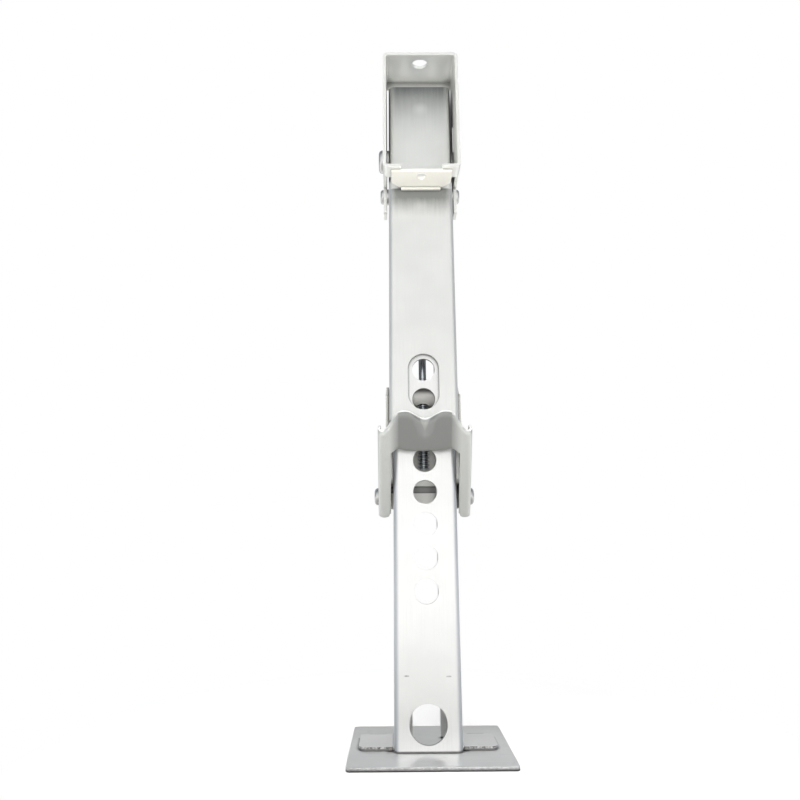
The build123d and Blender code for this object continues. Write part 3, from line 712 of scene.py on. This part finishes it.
class JACK_OT_latch_lever(bpy.types.Operator):
    """Builds the pressed latch lever: one sheet with humps, stepped wings, a bead and round-ended arms"""
    bl_idname = "jack.latch_lever"
    bl_label = "Latch Lever"

    # These are all in millimetres.
    # place across, height along the lean and slope of the top edge
    TOP = ((0.0, 68.0, 0.0), (7.6, 71.6, 0.72), (15.8, 75.2, 0.0), (22.4, 73.2, -0.85),
           (29.4, 64.0, -1.2), (33.6, 60.2, -0.1), (38.5, 63.2, 0.8))
    # the same for the lower edge of the wall and the wings
    LOW = ((0.0, 42.1, 0.0), (14.0, 42.4, 0.05), (21.7, 44.0, 0.1), (28.7, 40.7, -0.6))
    # radii of the section's bends, from one arm over the wall to the other
    BENDS = (3.5, 2.6, 2.4, 2.4, 2.6, 3.5)
    # how far within its inner edge an arm's round end begins
    ARM_INSET = 0.6
    # height along the lean at which the sides would start to taper down to the bosses
    TAPER_TOP = 63.0
    # height along the lean up to which the rows of faces are as close as they are above it
    ROW_CHANGE = 39.5
    ROWS = 12
    # the bead: the height where it sets in, the height in which it grows to its full depth at the dip,
    # how far beyond that it may grow, half its width where it sets in and how much it gains
    BEAD_START = 53.0
    BEAD_RUN = 15.0
    BEAD_MOST = 1.4
    BEAD_HALF = 5.0
    BEAD_GAIN = 4.0

    def execute(self, context):
        sizes = context.scene.jack_lever
        finish = context.scene.jack_finish
        side = sizes.half - sizes.sheet / 2
        corners = [(-side, sizes.boss), (-side, sizes.arm_depth), (-sizes.arm, sizes.arm_depth),
                   (-sizes.wall, sizes.wall_depth), (sizes.wall, sizes.wall_depth),
                   (sizes.arm, sizes.arm_depth), (side, sizes.arm_depth), (side, sizes.boss)]
        section = closer(rounded_path(corners, [bend * MM for bend in self.BENDS]), 1.0 * MM)
        rings = []
        for k, point in enumerate(section):
            tangent = (section[min(k + 1, len(section) - 1)] - section[max(k - 1, 0)]).normalized()
            normal = Vector((tangent.y, -tangent.x))
            lows = [self.lowest(sizes, point)]
            if k and self.on_arm(sizes, point) != self.on_arm(sizes, section[k - 1]):
                lows.insert(0, self.lowest(sizes, section[k - 1]))
            for low in lows:
                rings.append(self.ring(sizes, point, normal, low, self.highest(sizes, point)))
        mesh_data = bmesh.new()
        rings_to_skin(mesh_data, rings)
        bmesh.ops.remove_doubles(mesh_data, verts=mesh_data.verts, dist=0.001 * MM)
        bmesh.ops.dissolve_degenerate(mesh_data, dist=0.0005 * MM, edges=mesh_data.edges)
        bmesh.ops.recalc_face_normals(mesh_data, faces=mesh_data.faces)
        look = RolledZinc("lever_pressed", finish.lever, finish, wear=0.08)
        # painted shade on the lever's middle
        look.painted_middle_shade(20.5, 29.0, shaded(finish.lever, 0.56))
        # painted light on the facets of the lever's bead
        look.painted_vee_light(238.0, 260.0, 9.5, shaded(finish.lever, 0.24))
        # painted highlight on the lever's upward-facing rim, and painted shade in its corners
        look.faces("Z", 0.20, 0.60, (0.80, 0.80, 0.78), metal=0.0).corners()
        lever = new_piece("pressed_lever", mesh_data, "lever", "lever_zinc", look.done(), "latch_lever")
        self.bore(lever, sizes)
        finish_mesh(lever, math.radians(36))
        return {"FINISHED"}

    def on_arm(self, sizes, point):
        return abs(point.x) > sizes.arm - self.ARM_INSET * MM

    def lowest(self, sizes, point):
        """The lower edge at a point of the section: under the wall, or round the arm's end."""
        across = abs(point.x)
        if not self.on_arm(sizes, point):
            return wave(self.LOW, across / MM) * MM
        if point.y > 0:
            return -math.sqrt(max(sizes.boss ** 2 - point.y ** 2, 0.0))
        round_end = (sizes.half - sizes.arm) / 2
        off = min(abs(across - (sizes.half + sizes.arm) / 2), round_end)
        front = max(0.0, min(1.0, (point.y - sizes.arm_depth) / (sizes.boss / 2)))
        lift = 0.75 * round_end * (1.0 - max(1.0 - (off / round_end) ** 3, 0.0) ** (1 / 3))
        return -sizes.boss + lift * (1.0 - front) ** 2

    def highest(self, sizes, point):
        """The upper edge: the wavy top in front, and a taper down to the boss at the sides."""
        top = wave(self.TOP, abs(point.x) / MM) * MM
        if point.y <= 0:
            return top
        return min(top, self.TAPER_TOP * MM * (1.0 - point.y / sizes.boss)) + 0.02 * MM

    def ring(self, sizes, point, normal, low, high):
        """The closed outline of the sheet where it is cut square to its section at one point."""
        half_sheet = sizes.sheet / 2
        rim = min(sizes.rim, 0.45 * (high - low))
        change = min(max(self.ROW_CHANGE * MM, low + rim), high - rim)
        levels = [low + rim + (change - low - rim) * k / self.ROWS for k in range(self.ROWS)]
        levels += [change + (high - rim - change) * k / self.ROWS for k in range(self.ROWS + 1)]
        arc = [(half_sheet - rim + rim * math.cos(turn), rim * math.sin(turn))
               for turn in map(math.radians, (30, 60, 90))]
        outline = [(half_sheet, level) for level in levels]
        outline += [(off, high - rim + rise) for off, rise in arc]
        outline += [(-off, high - rim + rise) for off, rise in reversed(arc)]
        outline += [(-half_sheet, level) for level in reversed(levels)]
        outline += [(-off, low + rim - rise) for off, rise in arc]
        outline += [(off, low + rim - rise) for off, rise in reversed(arc)]
        sin, cos = math.sin(sizes.lean), math.cos(sizes.lean)
        ring = []
        for off, along in outline:
            across = point.x + normal.x * off
            grown = min(max((along / MM - self.BEAD_START) / self.BEAD_RUN, 0.0), self.BEAD_MOST)
            reach = (self.BEAD_HALF + self.BEAD_GAIN * grown) * MM
            depth = point.y + normal.y * off
            if abs(across) < reach and point.y < 0:
                depth += sizes.bead * grown * (1.0 - abs(across) / reach)
            if point.y <= 0:
                depth += sizes.curl * max(0.0, 1.0 - (high - along) / sizes.curl_width) ** 2
            ring.append((across, depth * cos - along * sin, sizes.pivot + along * cos + depth * sin))
        return ring

    def bore(self, lever, sizes):
        """Cuts the holes for the two rivets through the arms."""
        cutter_data = bmesh.new()
        sideways = Matrix.Translation((0, 0, sizes.pivot)) @ Matrix.Rotation(math.pi / 2, 4, "Y")
        bmesh.ops.create_cone(cutter_data, cap_ends=True, segments=48, radius1=sizes.bore,
                              radius2=sizes.bore, depth=4 * sizes.half, matrix=sideways)
        mesh = bpy.data.meshes.new("lever_bore")
        cutter_data.to_mesh(mesh)
        cutter_data.free()
        cutter = bpy.data.objects.new("lever_bore", mesh)
        bpy.context.scene.collection.objects.link(cutter)
        cut = lever.modifiers.new("bore", "BOOLEAN")
        cut.object = cutter
        cut.solver = "EXACT"
        apply_modifiers(lever)
        bpy.data.objects.remove(cutter)


class JACK_OT_adjusting_screw(bpy.types.Operator):
    """Builds the adjusting screw with its cut thread, plain shank and hexagon head"""
    bl_idname = "jack.adjusting_screw"
    bl_label = "Adjusting Screw"

    AROUND = 32
    ROWS_PER_TURN = 12
    # the thread's profile over one pitch: its height at the crest before it is cut off at 1, and how
    # steeply it falls to the root
    CREST = 1.35
    FLANK = 3.6
    HEAD_AROUND = 72
    SEAT = 0.4 * MM
    CROWN = 1.3 * MM

    def execute(self, context):
        finish = context.scene.jack_finish
        sizes = context.scene.jack_screw
        low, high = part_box("adjusting_screw")
        mesh_data = bmesh.new()
        rings_to_skin(mesh_data, self.rod(sizes, low.z, high.z))
        rings_to_skin(mesh_data, self.head(sizes, (high.y - low.y) / 2, high.z))
        bmesh.ops.recalc_face_normals(mesh_data, faces=mesh_data.faces)
        # painted shade in the thread's hollows
        look = turned_steel("screw_steel", finish.screw, finish, rough=-0.20, hollow_shade_left=0.30)
        screw = new_piece("threaded_screw", mesh_data, "screw", "screw_steel", look, "adjusting_screw")
        finish_mesh(screw)
        return {"FINISHED"}

    def rod(self, sizes, bottom, top):
        """Rings of the threaded part, with its rounded end, and of the plain shank."""
        rows = round(sizes.threaded / sizes.pitch * self.ROWS_PER_TURN)
        root = sizes.outer - sizes.depth
        angles = [2 * math.pi * k / self.AROUND for k in range(self.AROUND)]
        rings = []
        for row in range(rows + 1):
            height = sizes.threaded * row / rows
            fade = min(1.0, (sizes.threaded - height) / sizes.pitch)
            widest = sizes.outer
            if height < sizes.end_round:
                drop = sizes.end_round - height
                widest = sizes.outer - sizes.end_round + math.sqrt(sizes.end_round ** 2 - drop ** 2)
            ring = []
            for k, turn in enumerate(angles):
                phase = (height / sizes.pitch - k / self.AROUND) % 1.0
                crest = min(1.0, max(0.0, self.CREST - abs(phase - 0.5) * self.FLANK))
                radius = min(root + (sizes.outer - root) * (crest * fade), widest)
                if fade < 1.0:
                    radius = max(radius, sizes.shank * (1.0 - fade))
                ring.append((radius * math.cos(turn), radius * math.sin(turn), bottom + height))
            rings.append(ring)
        for height in (bottom + sizes.threaded + 0.01 * MM, top - sizes.head):
            rings.append([(sizes.shank * math.cos(turn), sizes.shank * math.sin(turn), height)
                          for turn in angles])
        return rings

    def head(self, sizes, flats, top):
        """Rings of the head: a hexagon with a round seat below and a turned chamfer on top."""
        foot = top - sizes.head
        rings = []
        # the height of each ring, and how many times the flats' reach it is turned down to
        for height, turned_to in ((foot, 0.94), (foot + self.SEAT, 0.94), (foot + self.SEAT, 2.0),
                                  (top - self.CROWN, 2.0), (top - 0.45 * self.CROWN, 1.06), (top, 0.90)):
            ring = []
            for k in range(self.HEAD_AROUND):
                turn = 2 * math.pi * k / self.HEAD_AROUND
                sector = (turn + math.pi / 6) % (math.pi / 3) - math.pi / 6
                radius = min(flats / math.cos(sector), flats * turned_to)
                ring.append((-radius * math.sin(turn), radius * math.cos(turn), height))
            rings.append(ring)
        return rings


class JACK_OT_turned_parts(bpy.types.Operator):
    """Gives the nut, dog, collar, pin and springs their finish"""
    bl_idname = "jack.turned_parts"
    bl_label = "Turned Parts"

    def execute(self, context):
        finish = context.scene.jack_finish
        # painted shade in the hollows of the turned parts
        turned = turned_steel("turned_zinc", finish.turned, finish, metal=0.35, hollow_shade_left=0.4)
        for name in TURNED_NODES:
            paint(name, turned)
        low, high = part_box("travelling_nut")
        middle = (low.z + high.z) / 2 / MM
        # painted shade over the nut's upper part
        nut = turned_steel("nut_zinc", finish.turned, finish, metal=0.35, hollow_shade_left=0.4,
                           shaded_heights=(middle - 6.0, middle + 1.0))
        paint("travelling_nut", nut)
        wire = turned_steel("spring_steel", shaded(finish.turned, 0.1), finish, rough=-0.15)
        for name in SPRING_NODES:
            paint(name, wire)
        return {"FINISHED"}


class JACK_OT_fasteners(bpy.types.Operator):
    """Gives rivets, washers, the shim and the bolt their finish"""
    bl_idname = "jack.fasteners"
    bl_label = "Fasteners"

    def execute(self, context):
        finish = context.scene.jack_finish
        look = turned_steel("fastener_zinc", finish.fastener, finish, rough=-0.14)
        for name in FASTENER_NODES:
            paint(name, look)
        return {"FINISHED"}


class JACK_OT_stage(bpy.types.Operator):
    """Sets up the floor, the background, the lamps and the camera"""
    bl_idname = "jack.stage"
    bl_label = "Stage"

    # what the metal mirrors: tones from behind the jack to the camera, and from below to above
    AROUND = ((0.0, (0.62, 0.63, 0.63)), (0.30, (0.50, 0.52, 0.55)), (0.55, (0.30, 0.33, 0.37)),
              (0.78, (0.86, 0.87, 0.87)), (1.0, (1.0, 1.0, 1.0)))
    UPWARD = ((0.0, (1.0, 1.0, 1.0)), (0.35, (1.0, 1.0, 1.0)), (0.70, (0.80, 0.81, 0.81)),
              (1.0, (0.50, 0.51, 0.52)))

    def execute(self, context):
        view = context.scene.jack_view
        context.scene.view_settings.view_transform = "Standard"
        self.floor()
        self.surroundings(context.scene, view)
        self.lamps(view)
        self.camera(context.scene, view)
        return {"FINISHED"}

    def floor(self):
        """A wide pale floor: shaded near the jack, white further away."""
        half = 6.0
        mesh = bpy.data.meshes.new("floor")
        mesh.from_pydata([(-half, -half, 0), (half, -half, 0), (half, half, 0), (-half, half, 0)], [],
                         [(0, 1, 2, 3)])
        ground = bpy.data.objects.new("floor", mesh)
        ground.location.z = -0.05 * MM
        bpy.context.scene.collection.objects.link(ground)
        look = Shading("floor_paper")
        look.tree.nodes.remove(look.shader)
        far = look.distance_from((0, 0, 0))
        rays = look.add("ShaderNodeLightPath")
        paper = look.add("ShaderNodeBsdfDiffuse")
        paper.inputs["Color"].default_value = (0.95, 0.95, 0.95, 1.0)
        white = look.add("ShaderNodeEmission")
        # painted reflection: for mirrored rays the floor glows, darker near the jack
        mirrored = look.add("ShaderNodeEmission")
        look.link(look.blend(look.rise(far, 0.05, 0.9), (0.42, 0.42, 0.41), (1.0, 1.0, 1.0)),
                  mirrored.inputs["Color"])
        seen = look.product(look.rise(far, 0.09, 0.30), rays.outputs["Is Camera Ray"])
        direct = mix_shaders(look.tree, seen, paper, white)
        whole = mix_shaders(look.tree, rays.outputs["Is Glossy Ray"], direct, mirrored)
        look.link(whole.outputs[0], look.tree.nodes["Material Output"].inputs["Surface"])
        mesh.materials.append(look.material)

    def surroundings(self, scene, view):
        """White to the camera, graded by direction for reflections, plain for soft light."""
        world = bpy.data.worlds.new("studio")
        scene.world = world
        world.use_nodes = True
        tree = world.node_tree
        tree.nodes.clear()
        plain = add_node(tree, "ShaderNodeBackground")
        plain.inputs["Color"].default_value = (1.0, 1.0, 1.0, 1.0)
        plain.inputs["Strength"].default_value = view.ambient
        white = add_node(tree, "ShaderNodeBackground")
        white.inputs["Color"].default_value = (1.0, 1.0, 1.0, 1.0)
        split = add_node(tree, "ShaderNodeSeparateXYZ")
        tree.links.new(add_node(tree, "ShaderNodeTexCoord").outputs["Generated"], split.inputs["Vector"])
        both = add_node(tree, "ShaderNodeMix", data_type="RGBA", blend_type="MULTIPLY")
        both.inputs["Factor"].default_value = 1.0
        tree.links.new(self.tones(tree, split.outputs["Y"], 1.0, -1.0, self.AROUND), both.inputs[MIX_FIRST])
        tree.links.new(self.tones(tree, split.outputs["Z"], -0.2, 1.0, self.UPWARD), both.inputs[MIX_SECOND])
        mirrored = add_node(tree, "ShaderNodeBackground")
        mirrored.inputs["Strength"].default_value = view.mirrored
        tree.links.new(both.outputs[MIX_RESULT], mirrored.inputs["Color"])
        rays = add_node(tree, "ShaderNodeLightPath")
        shine = mix_shaders(tree, rays.outputs["Is Glossy Ray"], plain, mirrored)
        whole = mix_shaders(tree, rays.outputs["Is Camera Ray"], shine, white)
        output = add_node(tree, "ShaderNodeOutputWorld")
        tree.links.new(whole.outputs[0], output.inputs["Surface"])

    def tones(self, tree, direction, start, end, stops):
        """A ramp of tones along one axis of the direction that a ray looks in."""
        run = add_node(tree, "ShaderNodeMapRange")
        run.inputs["From Min"].default_value = start
        run.inputs["From Max"].default_value = end
        tree.links.new(direction, run.inputs["Value"])
        ramp = add_node(tree, "ShaderNodeValToRGB")
        first, last = ramp.color_ramp.elements
        first.color = (*stops[0][1], 1.0)
        last.color = (*stops[-1][1], 1.0)
        for place, tone in stops[1:-1]:
            ramp.color_ramp.elements.new(place).color = (*tone, 1.0)
        tree.links.new(run.outputs["Result"], ramp.inputs["Fac"])
        return ramp.outputs["Color"]

    def lamps(self, view):
        """Large soft lamps on the jack, and two narrow ones: into the bracket from below and on the foot."""
        middle = Vector((0, 0, (cad_box[0][2] + cad_box[1][2]) / 2))
        bracket = Vector((0, -30 * MM, 540 * MM))
        foot = Vector((0, -10 * MM, 15 * MM))
        wide, narrow = 180, 32
        for name, place, aim, size, power, spread in (
                ("lamp_key", (-0.7, -1.1, 1.4), middle, 0.9, 11.0, wide),
                ("lamp_fill", (0.9, -1.0, 0.5), middle, 0.9, 5.0, wide),
                ("lamp_front", (-0.05, -0.85, 0.12), middle, 0.3, 3.4, wide),
                ("lamp_low", (0.0, -0.62, 0.03), bracket, 0.2, 0.09, narrow),
                ("lamp_foot", (0.0, -0.75, 0.35), foot, 0.25, 0.19, narrow),
                ("lamp_top", (0.1, 0.5, 1.8), middle, 1.2, 6.0, wide)):
            light = bpy.data.lights.new(name, "AREA")
            light.size = size
            light.energy = power * view.lamp
            light.spread = math.radians(spread)
            lamp = bpy.data.objects.new(name, light)
            lamp.location = place
            lamp.rotation_euler = (aim - lamp.location).to_track_quat("-Z", "Y").to_euler()
            lamp.visible_glossy = False
            bpy.context.scene.collection.objects.link(lamp)

    def camera(self, scene, view):
        """The camera of the photograph."""
        data = bpy.data.cameras.new("camera")
        data.lens = view.lens
        data.sensor_width = 36.0
        data.clip_start = 0.01
        camera = bpy.data.objects.new("camera", data)
        scene.collection.objects.link(camera)
        ahead = Matrix.Rotation(-view.turn, 4, "Z") @ Matrix.Rotation(view.tilt, 4, "X")
        upright = Matrix.Rotation(math.pi / 2, 4, "X")
        camera.matrix_world = (Matrix.Translation(view.place) @ ahead @ upright
                               @ Matrix.Rotation(view.roll, 4, "Z"))
        scene.camera = camera


BUILD_ORDER = ("sheet_steel", "foot_plate", "foot_welds", "latch_lever", "adjusting_screw",
               "turned_parts", "fasteners", "stage")


class JACK_PT_panel(bpy.types.Panel):
    """The jack's pieces, in the order in which they are made"""
    bl_label = "Stabilizer Jack"
    bl_idname = "JACK_PT_panel"
    bl_space_type = "VIEW_3D"
    bl_region_type = "UI"
    bl_category = "Jack"

    def draw(self, context):
        for name in BUILD_ORDER:
            self.layout.operator(f"jack.{name}")
        for name, kind in GROUPS.items():
            box = self.layout.box()
            for key in kind.__annotations__:
                box.prop(getattr(context.scene, name), key)


GROUPS = {"jack_finish": JackFinish, "jack_screw": JackScrew, "jack_plate": JackPlate,
          "jack_lever": JackLever, "jack_view": JackView}
CLASSES = (*GROUPS.values(), JACK_OT_sheet_steel, JACK_OT_foot_plate, JACK_OT_foot_welds,
           JACK_OT_latch_lever, JACK_OT_adjusting_screw, JACK_OT_turned_parts, JACK_OT_fasteners,
           JACK_OT_stage, JACK_PT_panel)


def register():
    for kind in CLASSES:
        bpy.utils.register_class(kind)
    for name, kind in GROUPS.items():
        setattr(bpy.types.Scene, name, PointerProperty(type=kind))


def unregister():
    for name in GROUPS:
        delattr(bpy.types.Scene, name)
    for kind in reversed(CLASSES):
        bpy.utils.unregister_class(kind)


def main():
    register()
    for name in BUILD_ORDER:
        getattr(bpy.ops.jack, name)()


if __name__ == "__main__":
    main()
